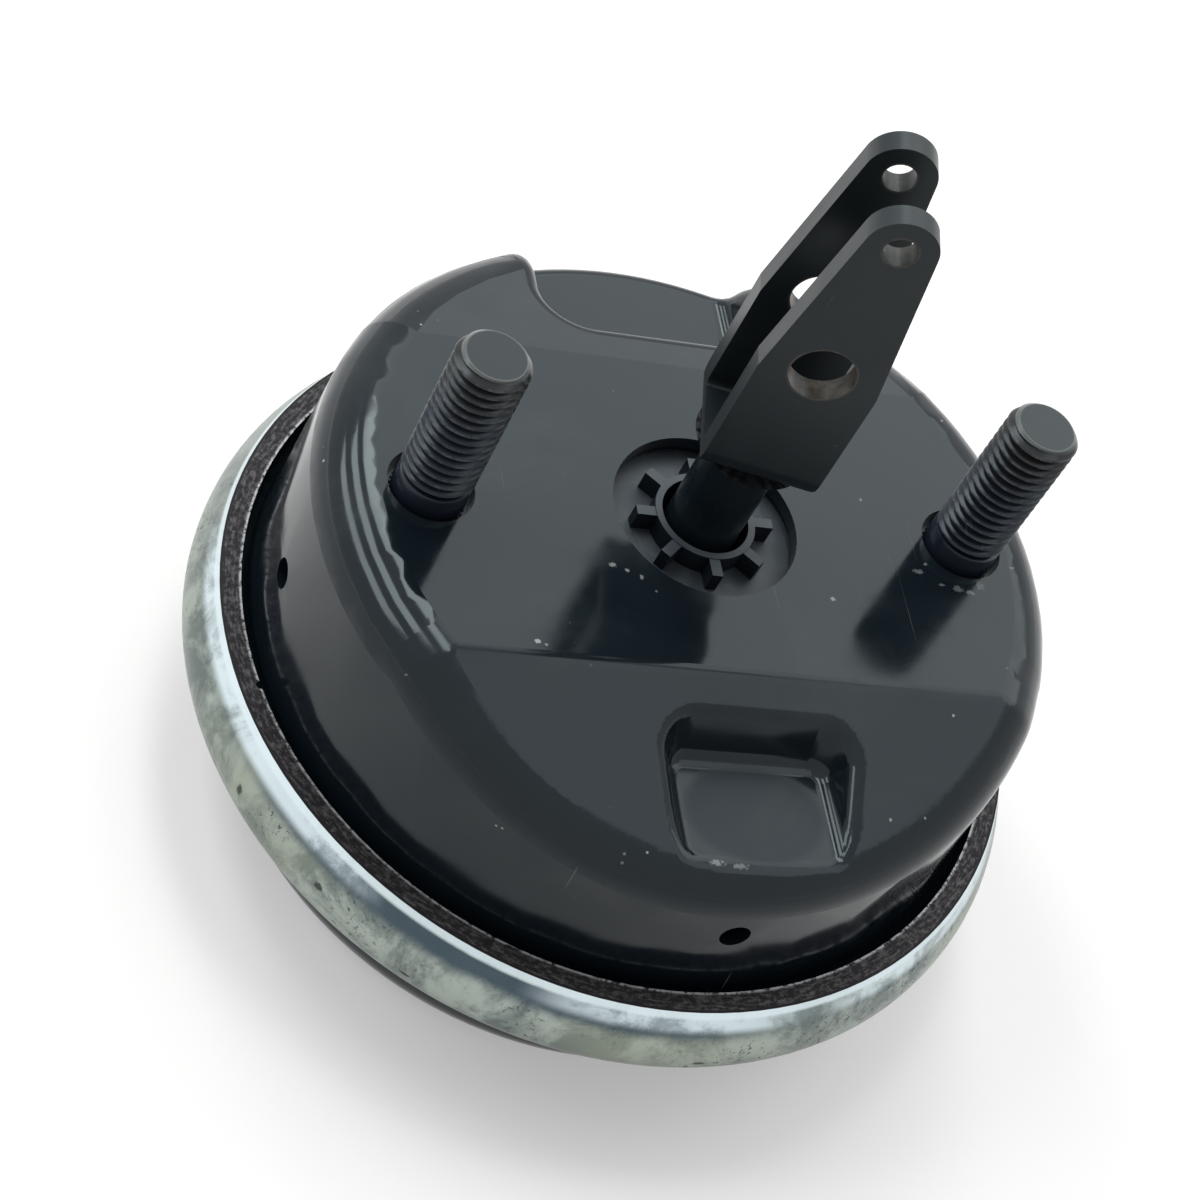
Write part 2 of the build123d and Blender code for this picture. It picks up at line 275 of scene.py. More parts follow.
def scratches(tree, turn, amount):
    place = objectPlace(tree, scale=scratchLook["scale"], turn=(0, 0, turn))
    lines = band(tree, noise(tree, place, 1.0, 2.0, 0.5, 0.4), 0.715, 0.76)
    patches = band(tree, noise(tree, objectPlace(tree), scratchLook["patchScale"], 2.0), 0.55, 0.68)
    return maths(tree, "MULTIPLY", both(tree, lines, patches), amount)


def boreWear(tree, place, colour, bores):
    # the pins have rubbed the holes bright and brown
    x, y, z = splitAxes(tree, objectPlace(tree, turn=(0, 0, radians(bores["turn"]))))
    for height, size, share in bores["holes"]:
        away = lengthOf(tree, joinAxes(tree, x, 0.0, maths(tree, "SUBTRACT", z, height)))
        patch = band(tree, noise(tree, place, bores["patchScale"], 4.0, 0.7), 0.40, 0.60, 0.25, 1.0)
        ring = both(tree, band(tree, away, size + bores["fade"][0], size + bores["fade"][1]), patch)
        colour = blendColour(tree, maths(tree, "MULTIPLY", ring, share), colour, bores["colour"])
    return colour


def threadMarksAndPaintedLight(tree, place, cloud, colour, wearAndGlints, crest):
    # brown near the point and blue-black below, with painted highlights on the crests and along the point's edge
    # and a painted shade on the flat end, on top of the coat's real wear
    x, y, z = splitAxes(tree)
    x = maths(tree, "SUBTRACT", maths(tree, "ABSOLUTE", x), crest["axisAt"])
    radius = lengthOf(tree, joinAxes(tree, x, y, 0.0))
    height = maths(tree, "ADD", z, maths(tree, "MULTIPLY", cloud, crest["brownRagged"]))
    top = band(tree, height, *crest["brownHeight"])
    colour = blendColour(tree, maths(tree, "MULTIPLY", top, crest["brownShare"]), colour, crest["brown"])
    # the flat end is painted darker: painted shade
    colour = blendColour(tree, band(tree, z, *crest["shadedEndHeight"]), colour, crest["end"])
    # painted glints on the crests, in patches
    patch = band(tree, noise(tree, place, crest["patchScale"], 3.0, 0.7), 0.42, 0.64)
    paintedGlint = both(tree, band(tree, radius, *crest["glintRadius"]), patch)
    paintedGlint = both(tree, paintedGlint, band(tree, z, *crest["glintHeight"]))
    # a painted highlight along the chamfer's edge at the point
    edge = both(tree, band(tree, radius, *crest["pointGlintRadius"]), band(tree, z, *crest["pointGlintHeight"]))
    wearAndGlints = either(tree, wearAndGlints, maths(tree, "MULTIPLY", paintedGlint, crest["glintShare"]))
    wearAndGlints = either(tree, wearAndGlints, maths(tree, "MULTIPLY", edge, crest["pointGlintShare"]))
    return colour, wearAndGlints


def scuffWear(tree, grain, wearAndGlints, scuffs):
    # the grain eats into each spot's edge and leaves it ragged
    for point, size, stretch, share in scuffs:
        edge = maths(tree, "ADD", distanceFrom(tree, point, stretch), maths(tree, "MULTIPLY", grain, size * 1.6))
        spot = band(tree, edge, size * 1.45, size * 1.2)
        wearAndGlints = either(tree, wearAndGlints, maths(tree, "MULTIPLY", spot, share))
    return wearAndGlints


def blackCoat(name, look, scuffs=()):
    material, tree, shader = newMaterial(name)
    place = objectPlace(tree)
    cloud = noise(tree, place, look["cloudScale"], 4.0, 0.6)
    colour = blendColour(tree, cloud, look["deep"], look["pale"])
    haze = band(tree, noise(tree, place, look["hazeScale"], 5.0, 0.68, 0.8), 0.50, 0.74)
    film = both(tree, haze, band(tree, facingUp(tree), 0.1, 0.9, 0.25, 1.0))
    colour = blendColour(tree, maths(tree, "MULTIPLY", film, look["haze"]), colour, look["dustColour"])
    specks = band(tree, cells(tree, place, look["speckScale"]), look["speckSize"], look["speckSize"] * 0.6)
    sparse = noise(tree, place, look["sparseScale"], 1.0)
    wearAndGlints = both(tree, specks, band(tree, sparse, look["speckFrom"], look["speckFrom"] + 0.05))
    # two sets of scratches cross each other
    wearAndGlints = either(tree, wearAndGlints, scratches(tree, 0.5, look["scratch"]))
    wearAndGlints = either(tree, wearAndGlints, scratches(tree, -0.9, look["scratch"] * 0.8))
    if "bores" in look:
        colour = boreWear(tree, place, colour, look["bores"])
    if "crest" in look:
        colour, wearAndGlints = threadMarksAndPaintedLight(tree, place, cloud, colour, wearAndGlints, look["crest"])
    wearAndGlints = scuffWear(tree, noise(tree, place, look["grainScale"], 3.0, 0.75), wearAndGlints, scuffs)
    colour = blendColour(tree, maths(tree, "MULTIPLY", wearAndGlints, look["wearAndGlints"]), colour, look["wearAndGlintColour"])
    tree.links.new(colour, shader.inputs["Base Color"])
    smear = noise(tree, objectPlace(tree, scale=(1, 2.2, 1), turn=(0, 0, 0.6)), look["smearScale"], 4.0, 0.6, 1.0)
    rough = band(tree, smear, 0.32, 0.75, look["smooth"], look["dull"])
    rough = either(tree, rough, maths(tree, "MULTIPLY", wearAndGlints, 0.65))
    if "dullSpot" in look:
        spot = look["dullSpot"]
        dull = band(tree, distanceFrom(tree, spot["at"], spot["stretch"]), *spot["fade"])
        rough = either(tree, rough, maths(tree, "MULTIPLY", dull, spot["rough"]))
    tree.links.new(rough, shader.inputs["Roughness"])
    shader.inputs["IOR"].default_value = look["ior"]
    shader.inputs["Specular Tint"].default_value = (*look["sheen"], 1.0)
    waves = addBump(tree, shader, noise(tree, place, look["waveScale"], 2.0), look["waves"], 0.0003)
    addBump(tree, shader, noise(tree, place, look["peelScale"], 2.0), look["peel"], 0.00004, waves)
    return material


coatLook = {
    "deep": (0.0045, 0.0080, 0.0120), "pale": (0.0085, 0.0130, 0.0175), "cloudScale": 22,
    "haze": 0.10, "hazeScale": 13, "dustColour": (0.115, 0.125, 0.115),
    "wearAndGlintColour": (0.46, 0.48, 0.46), "speckScale": 330, "speckSize": 0.13, "speckFrom": 0.66, "sparseScale": 75,
    "scratch": 0.35, "wearAndGlints": 0.75, "grainScale": 1300, "smooth": 0.085, "dull": 0.19, "smearScale": 24,
    "ior": 1.36, "sheen": (0.88, 0.97, 1.0), "waves": 0.05, "waveScale": 90, "peel": 0.06, "peelScale": 1500,
}
# the pocket's floor is duller than the faces round it
housingLook = dict(
    coatLook,
    dullSpot={
        "at": (0.0045, -0.0640, -0.0160), "stretch": (0.75, 1, 2.5), "fade": (0.01485, 0.0108), "rough": 0.42,
    },
)
# place, size, stretch along each axis and strength of each worn spot
housingScuffs = [
    ((0.0478, -0.0088, 0.0), 0.0010, (0.50, 0.9, 1), 0.30),
    ((0.0502, -0.0066, 0.0), 0.0006, (0.70, 0.8, 1), 0.38),
    ((0.0528, -0.0118, 0.0), 0.0007, (0.45, 1.2, 1), 0.30),
    ((0.0566, -0.0124, 0.0), 0.0012, (0.60, 0.8, 1), 0.28),
    ((0.0594, -0.0130, 0.0), 0.0010, (0.50, 1.0, 1), 0.42),
    ((0.0622, -0.0108, 0.0), 0.0014, (0.70, 0.7, 1), 0.25),
    ((0.0718, -0.0050, 0.0), 0.0007, (0.60, 1.2, 1), 0.40),
    ((-0.0430, -0.0365, 0.0), 0.0010, (1, 1, 1), 1.0),
    ((-0.0413, -0.0372, 0.0), 0.0006, (1, 1, 1), 0.7),
    ((-0.0236, -0.0156, 0.0), 0.0010, (0.7, 1, 1), 0.55),
    ((-0.0205, -0.0166, 0.0), 0.0007, (0.8, 1, 1), 0.55),
    ((-0.0176, -0.0180, 0.0), 0.0007, (1, 0.7, 1), 0.50),
    ((-0.0150, -0.0212, 0.0), 0.0005, (1, 0.8, 1), 0.35),
    ((0.0254, -0.0186, 0.0), 0.0007, (0.8, 0.8, 1), 0.9),
    ((-0.0691, -0.0430, -0.006), 0.0007, (1, 1, 1), 0.9),
    ((-0.0357, -0.0739, -0.0097), 0.0007, (1, 1, 1), 1.0),
    ((-0.0060, -0.0759, -0.0138), 0.0012, (0.35, 1, 1), 0.5),
    ((-0.0010, -0.0764, -0.0140), 0.0010, (0.35, 1, 1), 0.4),
    ((0.0164, -0.0586, -0.0071), 0.0006, (1, 1, 1), 0.9),
    ((0.0325, -0.0658, -0.0099), 0.0006, (1, 1, 1), 0.8),
    ((0.0405, -0.0649, -0.0096), 0.0005, (1, 1, 1), 0.7),
    ((0.0382, 0.0092, 0.0), 0.0007, (1, 1, 1), 0.4),
    ((-0.0405, 0.0480, -0.002), 0.0006, (1, 1, 1), 0.9),
    ((-0.0280, 0.0690, -0.009), 0.0007, (0.8, 1, 1), 0.5),
]
ironLook = dict(coatLook, smooth=0.24, dull=0.40, haze=0.12, scratch=0.5, wearAndGlints=0.5, speckFrom=0.70)
clevisLook = dict(
    ironLook, deep=(0.0085, 0.0120, 0.0150), pale=(0.0150, 0.0185, 0.0200), smooth=0.30, dull=0.44,
    scratch=0.7, haze=0.14,
    bores={
        # height, radius and share of each hole
        "holes": [(0.0594, 0.00655, 0.75), (0.0940, 0.0033, 0.45)], "turn": 13, "fade": (0.0006, 0.0001),
        "colour": (0.115, 0.090, 0.072), "patchScale": 210,
    },
)
# a height or a radius is given as the two ends of its blend
studLook = dict(
    ironLook, deep=(0.0080, 0.0110, 0.0210), pale=(0.0190, 0.0230, 0.0350), smooth=0.16, dull=0.32,
    ior=1.38, sheen=(0.82, 0.92, 1.0), haze=0.08, speckFrom=0.72, scratch=0.2,
    crest={
        "axisAt": 0.060325, "patchScale": 260,
        # the glint keys paint highlights on the crests
        "glintRadius": (0.0074, 0.0079), "glintHeight": (0.006, 0.009), "glintShare": 0.30,
        # the point glint keys paint a highlight along the chamfer's edge
        "pointGlintRadius": (0.00595, 0.0063), "pointGlintHeight": (0.0391, 0.0395), "pointGlintShare": 0.45,
        "brown": (0.026, 0.023, 0.021), "brownHeight": (0.026, 0.042), "brownRagged": 0.012, "brownShare": 0.8,
        # end is the painted shade on the flat end
        "end": (0.009, 0.010, 0.011), "shadedEndHeight": (0.0396, 0.0399),
    },
)


def paintedShoulderReflection(tree, place, mottle, level, colour, lip):
    # the rolled shoulder gets a painted dark blue reflection above the wall, strongest towards one side, with
    # painted glints in a few directions and a painted highlight line along the lip
    ragged = maths(tree, "MULTIPLY", noise(tree, place, lip["raggedScale"], 5.0, 0.7), lip["ragged"])
    low = band(tree, maths(tree, "ADD", level, ragged), *lip["shoulderFrom"])
    high = band(tree, level, *lip["shoulderTo"], 1.0, 0.0)
    # side sets how strong the painted dark reflection is in each direction round the axis
    side = maths(tree, "MULTIPLY", towards(tree, *lip["reflectionSide"]), lip["reflectionShare"])
    side = maths(tree, "ADD", side, lip["leastReflection"])
    colour = blendColour(tree, both(tree, both(tree, low, high), side), colour, lip["darkReflection"])
    # each window is a painted glint of a bright window, in one direction round the lip
    for window in lip["glintWindows"]:
        paintedGlint = both(tree, towards(tree, *window), band(tree, mottle, 0.36, 0.56, 0.4, 1.0))
        paintedGlint = both(tree, paintedGlint, band(tree, level, *lip["glintHeight"]))
        colour = blendColour(tree, maths(tree, "MULTIPLY", paintedGlint, lip["glintShare"]), colour, lip["lipHighlight"])
    # a painted highlight line along the lip
    lipHighlight = band(tree, level, *lip["lipHighlightHeight"], 0.0, lip["lipHighlightShare"])
    return blendColour(tree, lipHighlight, colour, lip["lipHighlight"])


def cutColour(tree, fine, radius, lip):
    # the raw cut edge is dark and gritty, with a bright inner rim and a dark line near the outer one
    rings = noise(tree, aroundAxis(tree, lip["ringScale"])[0], 1.0, 3.0, 0.6)
    speckle = band(tree, maths(tree, "ADD", both(tree, fine, fine), rings), 0.66, 0.98)
    grit = blendColour(tree, speckle, lip["cutDark"], lip["cutPale"])
    edge = band(tree, radius, *lip["cutInner"], 1.0, 0.0)
    grit = blendColour(tree, both(tree, edge, band(tree, fine, 0.42, 0.52)), grit, lip["cutEdge"])
    rise = band(tree, radius, *lip["cutRise"])
    fall = band(tree, radius, *lip["cutFall"], 1.0, 0.0)
    return blendColour(tree, both(tree, rise, fall), grit, lip["cutDark"])


def zincPlate(name, look, marks=(), lip=None):
    material, tree, shader = newMaterial(name)
    place = objectPlace(tree)
    around, radius, level = aroundAxis(tree, look["grain"])
    mottle = noise(tree, place, look["mottleScale"], 6.0, 0.70, 0.5)
    colour = blendColour(tree, band(tree, mottle, 0.40, 0.62), look["grey"], look["bright"])
    tint = band(tree, noise(tree, place, look["tintScale"], 3.0), 0.40, 0.66)
    colour = blendColour(tree, maths(tree, "MULTIPLY", tint, look["tintShare"]), colour, look["tint"])
    fine = noise(tree, place, look["pitScale"], 5.0, 0.78)
    pits = band(tree, fine, 0.555, 0.615)
    where = band(tree, noise(tree, place, look["dirtScale"], 4.0, 0.62), 0.45, 0.60)
    along = noise(tree, around, 1.0, 3.0, 0.6, 0.5)
    scores = both(
        tree, band(tree, along, 0.66, 0.73), band(tree, noise(tree, place, look["scoreScale"], 2.0), 0.5, 0.65)
    )
    dirt = either(tree, both(tree, pits, where), maths(tree, "MULTIPLY", scores, look["scores"]))
    for point, size, stretch in marks:
        edge = maths(tree, "ADD", distanceFrom(tree, point, stretch), maths(tree, "MULTIPLY", fine, size))
        dirt = either(tree, dirt, band(tree, edge, size * 1.15, size * 0.85))
    colour = blendColour(tree, maths(tree, "MULTIPLY", dirt, look["dirt"]), colour, look["dark"])
    rough = band(tree, mottle, 0.3, 0.7, look["smooth"], look["dull"])
    if lip:
        colour = paintedShoulderReflection(tree, place, mottle, level, colour, lip)
        cut = band(tree, level, *lip["cutHeight"])
        colour = blendColour(tree, cut, colour, cutColour(tree, fine, radius, lip))
        rough = either(tree, rough, maths(tree, "MULTIPLY", cut, lip["cutRough"]))
    rough = either(tree, rough, maths(tree, "MULTIPLY", dirt, 0.55))
    shader.inputs["Metallic"].default_value = 1.0
    tree.links.new(colour, shader.inputs["Base Color"])
    tree.links.new(rough, shader.inputs["Roughness"])
    first = addBump(tree, shader, fine, look["pitting"], 0.0001)
    addBump(tree, shader, noise(tree, place, look["dentScale"], 3.0), look["dents"], 0.0003, first)
    return material


ringLook = {
    "grey": (0.130, 0.160, 0.155), "bright": (0.34, 0.385, 0.35), "mottleScale": 70,
    "tint": (0.28, 0.305, 0.225), "tintShare": 0.60, "tintScale": 15,
    "dark": (0.050, 0.056, 0.046), "dirt": 0.9, "dirtScale": 48, "scores": 0.7, "scoreScale": 26,
    "grain": (16, 900, 900), "smooth": 0.22, "dull": 0.42,
    "pitting": 0.35, "pitScale": 760, "dents": 0.30, "dentScale": 140,
}
# place, size and stretch of each dark nick
ringMarks = [
    ((0.0030, -0.0952, -0.0625), 0.0011, (1.0, 0.5, 0.30)),
    ((0.0050, -0.0952, -0.0596), 0.0009, (0.35, 0.5, 1.0)),
    ((-0.0560, -0.0772, -0.0600), 0.0011, (0.4, 0.5, 1.2)),
    ((-0.0875, -0.0380, -0.0570), 0.0010, (0.8, 0.5, 0.4)),
    ((-0.0930, 0.0060, -0.0560), 0.0009, (1.0, 0.5, 0.35)),
    ((-0.0735, -0.0605, -0.0560), 0.0012, (0.6, 0.5, 0.8)),
    ((0.0520, -0.0795, -0.0590), 0.0010, (0.5, 0.5, 1.0)),
]
# a height or a radius is the two ends of its blend, a side is its direction, inner and outer angle
# the first colour is a painted dark blue reflection on the rolled shoulder, strongest towards its side
ringLip = {
    "darkReflection": (0.055, 0.080, 0.100), "shoulderFrom": (-0.0514, -0.0486), "shoulderTo": (-0.0484, -0.0478),
    "ragged": 0.0045, "raggedScale": 34, "reflectionSide": (-118, 20, 48), "reflectionShare": 0.75, "leastReflection": 0.20,
    # the windows below are painted glints of bright windows
    "glintWindows": [(-92, 6, 22), (-150, 6, 18), (-176, 8, 22), (-48, 8, 26)],
    "glintHeight": (-0.0520, -0.0498), "glintShare": 0.85,
    # the pale blue-white colour is a painted highlight line along the lip
    "lipHighlight": (0.66, 0.76, 0.80), "lipHighlightHeight": (-0.0484, -0.0475), "lipHighlightShare": 0.8,
    "cutHeight": (-0.04642, -0.04634), "cutRough": 0.6, "ringScale": (30, 1500, 0),
    "cutDark": (0.024, 0.022, 0.024), "cutPale": (0.088, 0.084, 0.087), "cutEdge": (0.33, 0.33, 0.34),
    "cutInner": (0.0867, 0.0872), "cutRise": (0.0904, 0.0907), "cutFall": (0.0910, 0.0913),
}
plainZinc = dict(ringLook, tint=(0.55, 0.46, 0.26), tintShare=0.5, dirt=0.4, bright=(0.52, 0.55, 0.50))


def weldMetal(name, centre, look):
    material, tree, shader = newMaterial(name)
    place = objectPlace(tree)
    shade = noise(tree, place, look["shadeScale"], 4.0, 0.7)
    colour = blendColour(tree, shade, look["deep"], look["pale"])
    x, y, z = splitAxes(tree)
    angle = maths(
        tree, "ARCTAN2", maths(tree, "SUBTRACT", y, centre[1]), maths(tree, "SUBTRACT", x, centre[0])
    )
    ripple = maths(tree, "SINE", maths(tree, "MULTIPLY", angle, look["ripples"]))
    uneven = maths(tree, "MULTIPLY", noise(tree, place, look["unevenScale"], 2.0), look["uneven"])
    ripple = maths(tree, "ADD", ripple, uneven)
    tree.links.new(colour, shader.inputs["Base Color"])
    shader.inputs["Metallic"].default_value = look["metal"]
    tree.links.new(band(tree, shade, 0.3, 0.7, look["smooth"], look["dull"]), shader.inputs["Roughness"])
    addBump(tree, shader, ripple, 0.7, look["rippleHeight"])
    return material


blackWeld = {
    "deep": (0.008, 0.010, 0.013), "pale": (0.030, 0.032, 0.033), "shadeScale": 300, "metal": 0.0,
    "ripples": 26, "rippleHeight": 0.0006, "uneven": 1.6, "unevenScale": 500, "smooth": 0.30, "dull": 0.55,
}
bareWeld = dict(blackWeld, deep=(0.10, 0.09, 0.08), pale=(0.36, 0.33, 0.30), ripples=34, metal=1.0)


def mouldedPlastic(name, look):
    material, tree, shader = newMaterial(name)
    place = objectPlace(tree)
    cloud = noise(tree, place, look["cloudScale"], 3.0)
    topsLitAndDusty = band(tree, facingUp(tree), 0.25, 0.95)
    colour = blendColour(tree, cloud, look["deep"], look["pale"])
    # faces that don't face up take the near-black side colour: painted shade on the sides, with real dust only on
    # the tops
    colour = blendColour(tree, topsLitAndDusty, look["side"], colour)
    dust = both(tree, band(tree, noise(tree, place, look["dustScale"], 4.0, 0.7), 0.52, 0.72), topsLitAndDusty)
    colour = blendColour(tree, maths(tree, "MULTIPLY", dust, look["dust"]), colour, look["dustColour"])
    tree.links.new(colour, shader.inputs["Base Color"])
    tree.links.new(band(tree, cloud, 0.3, 0.7, look["smooth"], look["dull"]), shader.inputs["Roughness"])
    shader.inputs["IOR"].default_value = look["ior"]
    addBump(tree, shader, noise(tree, place, look["peelScale"], 2.0), look["peel"], 0.00005)
    return material


guideLook = {
    # side is the painted shade on faces that don't face up
    "side": (0.003, 0.005, 0.009), "deep": (0.034, 0.041, 0.050), "pale": (0.056, 0.066, 0.078), "cloudScale": 60,
    "dust": 0.35, "dustScale": 240, "dustColour": (0.10, 0.11, 0.115), "smooth": 0.40, "dull": 0.55,
    "ior": 1.36, "peel": 0.12, "peelScale": 1400,
}


rubberLook = {
    "black": (0.014, 0.014, 0.014), "chalk": (0.09, 0.09, 0.088), "chalkShare": 0.3, "chalkScale": 35,
    "weaveScale": 260, "weave": 0.25, "smooth": 0.55, "dull": 0.75,
}


def clothRubber(name, look):
    material, tree, shader = newMaterial(name)
    place = objectPlace(tree)
    weave = addNode(tree, "ShaderNodeTexWave", bands_direction="DIAGONAL")
    weave.inputs["Scale"].default_value = look["weaveScale"]
    tree.links.new(place, weave.inputs["Vector"])
    chalk = band(tree, noise(tree, place, look["chalkScale"], 4.0), 0.5, 0.75)
    share = maths(tree, "MULTIPLY", chalk, look["chalkShare"])
    tree.links.new(blendColour(tree, share, look["black"], look["chalk"]), shader.inputs["Base Color"])
    tree.links.new(band(tree, chalk, 0.0, 1.0, look["smooth"], look["dull"]), shader.inputs["Roughness"])
    addBump(tree, shader, weave.outputs["Fac"], look["weave"], 0.0001)
    return material


steelLook = {
    "deep": (0.22, 0.21, 0.20), "pale": (0.46, 0.45, 0.42), "shadeScale": 120,
    "rust": (0.16, 0.09, 0.05), "rustShare": 0.5, "rustScale": 210,
    "smooth": 0.28, "dull": 0.46, "rings": 0.2, "ringScale": (20, 20, 4200),
}


def turnedSteel(name, look):
    material, tree, shader = newMaterial(name)
    place = objectPlace(tree)
    shade = noise(tree, place, look["shadeScale"], 4.0, 0.6)
    colour = blendColour(tree, shade, look["deep"], look["pale"])
    rust = band(tree, noise(tree, place, look["rustScale"], 5.0, 0.7), 0.60, 0.74)
    colour = blendColour(tree, maths(tree, "MULTIPLY", rust, look["rustShare"]), colour, look["rust"])
    tree.links.new(colour, shader.inputs["Base Color"])
    shader.inputs["Metallic"].default_value = 1.0
    tree.links.new(band(tree, shade, 0.3, 0.7, look["smooth"], look["dull"]), shader.inputs["Roughness"])
    rings = noise(tree, objectPlace(tree, scale=look["ringScale"]), 1.0, 1.0)
    addBump(tree, shader, rings, look["rings"], 0.00008)
    return material


def dress(name, material):
    node = nodes[name]
    node.data.materials.clear()
    node.data.materials.append(material)


print("finishes on the CAD pieces")
housingCoat = blackCoat("housingCoat", housingLook, housingScuffs)
ironCoat = blackCoat("ironCoat", ironLook)
clevisCoat = blackCoat("clevisCoat", clevisLook)
studCoat = blackCoat("studCoat", studLook)
ringZinc = zincPlate("ringZinc", ringLook, ringMarks, ringLip)
zinc = zincPlate("zinc", plainZinc)
steel = turnedSteel("steel", steelLook)

for material, names in (
    (housingCoat, ["non_pressure_housing", "pressure_housing"]),
    (ironCoat, ["pushrod", "return_spring", "mounting_plate"]),
    (zinc, ["push_plate", "spring_seat", "port_plug"]),
    (ringZinc, ["crimp_ring"]),
    (clevisCoat, ["clevis"]),
    (mouldedPlastic("guidePlastic", guideLook), ["guide_plate"]),
    (clothRubber("diaphragmRubber", rubberLook), ["diaphragm"]),
    (steel, ["port_boss_left", "port_boss_right"]),
    (studCoat, ["stud_left", "stud_right"]),
):
    for name in names:
        dress(name, material)
dress("clevis_weld", weldMetal("clevisWeld", (0, 0), blackWeld))
dress("rod_end_weld", weldMetal("rodEndWeld", (0, 0), blackWeld))
dress("plate_weld", weldMetal("plateWeld", (0, 0), bareWeld))
for side in ("left", "right"):
    low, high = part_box("port_weld_" + side)
    centre = (low + high) / 2
    dress("port_weld_" + side, weldMetal("portWeld" + side.title(), (centre.x, centre.y), bareWeld))


studSize = {
    "radius": 0.0079375, "pitch": 0.002309, "depth": 0.00142, "threadFrom": 0.0042,
    "chamfer": 0.0016, "steps": 64, "coreOverlap": 0.0006, "shankOverlap": 0.0004, "shankBevel": 0.0009,
    "headRadius": 0.012, "headHeight": 0.0055, "headBevel": 0.0012,
    "collarRadius": 0.00815, "splines": 36, "groove": 0.965, "sheet": 0.003,
}
smoothAngle = 40
# how far out and how far along each point of a thread's profile lies, as shares of depth and pitch
threadProfile = [
    (-0.14, -0.49), (0.30, -0.31), (0.72, -0.17), (0.95, -0.08),
    (1.0, 0.0), (0.95, 0.08), (0.72, 0.17), (0.30, 0.31), (-0.14, 0.49),
]


def upright(name, radius, low, high, x, sides=96):
    deselectAll()
    bpy.ops.mesh.primitive_cylinder_add(
        vertices=sides, radius=radius, depth=high - low, location=(x, 0, (low + high) / 2)
    )
    piece = bpy.context.object
    piece.name = name
    placeInMesh(piece)
    return piece


def bevelEnd(piece, z, width, segments=1):
    editAll(piece)
    bpy.ops.mesh.select_all(action="DESELECT")
    bpy.ops.mesh.select_mode(type="EDGE")
    objectMode()
    for edge in piece.data.edges:
        edge.select = all(abs(piece.data.vertices[i].co.z - z) < 1e-6 for i in edge.vertices)
    bpy.ops.object.mode_set(mode="EDIT")
    bpy.ops.mesh.bevel(offset=width, segments=segments, affect="EDGES")
    objectMode()


def threadRidge(name, radius, depth, pitch, low, high, steps, inward=False):
    deselectAll()
    bpy.ops.mesh.primitive_circle_add(vertices=len(threadProfile), radius=pitch * 0.4, fill_type="NOTHING")
    ridge = bpy.context.object
    ridge.name = name
    root = radius if inward else radius - depth
    toward = -depth if inward else depth
    for vertex, (rise, run) in zip(ridge.data.vertices, threadProfile):
        vertex.co = (root + toward * rise, 0, low - pitch + pitch * run)
    screw = ridge.modifiers.new("helix", "SCREW")
    screw.axis = "Z"
    screw.screw_offset = pitch
    screw.iterations = int((high - low) / pitch) + 3  # turns to spare at both ends, trimmed off below
    screw.steps = screw.render_steps = steps
    screw.use_merge_vertices = False
    placeInMesh(ridge)
    bpy.ops.object.modifier_apply(modifier="helix")
    trimAt(ridge, high, True)
    trimAt(ridge, low, False)
    return ridge


def threadedStud(side, nodeName):
    size = studSize
    low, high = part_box(nodeName)
    x = (low.x + high.x) / 2
    seat = low.z + size["headHeight"]
    root = size["radius"] - size["depth"]
    tipRadius = size["radius"] - size["chamfer"]
    core = upright("core", root, size["threadFrom"] - size["coreOverlap"], high.z, x)
    bevelEnd(core, high.z, root - tipRadius)
    ridge = threadRidge(
        "ridge", size["radius"], size["depth"], size["pitch"], size["threadFrom"],
        high.z - (root - tipRadius), size["steps"],
    )
    for vertex in ridge.data.vertices:  # the chamfer at the point cuts the last turns down
        reach = tipRadius + high.z - vertex.co.z
        across = (vertex.co.x**2 + vertex.co.y**2) ** 0.5
        if across > reach:
            vertex.co.x *= reach / across
            vertex.co.y *= reach / across
        vertex.co.x += x
    shankTop = size["threadFrom"] + size["shankOverlap"]
    shank = upright("shank", size["radius"], -size["sheet"], shankTop, x)
    bevelEnd(shank, shankTop, size["shankBevel"], 2)
    collar = upright("collar", size["collarRadius"], seat, -size["sheet"], x, size["splines"] * 2)
    for i, vertex in enumerate(collar.data.vertices):
        if (i // 2) % 2:  # every other spline is a groove
            vertex.co.x = x + (vertex.co.x - x) * size["groove"]
            vertex.co.y *= size["groove"]
    head = upright("head", size["headRadius"], low.z, seat, x)
    bevelEnd(head, low.z, size["headBevel"], 3)
    stud = joinAs("threadedStud" + side, [core, ridge, shank, collar, head])
    faceOutwards(stud)
    smoothBy(stud, smoothAngle)
    stud.data.materials.append(studCoat)
    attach(stud, "chamber")
    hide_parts(nodeName)


print("threaded studs")
for side, nodeName in (("Left", "stud_left"), ("Right", "stud_right")):
    threadedStud(side, nodeName)


portSize = {
    "radius": 0.0073, "pitch": 0.001411, "depth": 0.0007, "steps": 48,
    "inset": 0.0002, "end": 0.0010,  # plain length at the mouth and at the inner end
}


def portThread():
    size = portSize
    low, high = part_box("port_boss_left")
    x = (low.x + high.x) / 2
    ridge = threadRidge(
        "portThread", size["radius"], size["depth"], size["pitch"],
        low.z + size["inset"], high.z - size["end"], size["steps"], inward=True,
    )
    for vertex in ridge.data.vertices:
        vertex.co.x += x
    faceOutwards(ridge)
    smoothBy(ridge, smoothAngle)
    ridge.data.materials.append(steel)
    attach(ridge, "chamber")


print("port thread")
portThread()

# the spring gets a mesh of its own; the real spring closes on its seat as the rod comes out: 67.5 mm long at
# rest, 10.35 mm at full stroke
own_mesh(nodes["return_spring"])


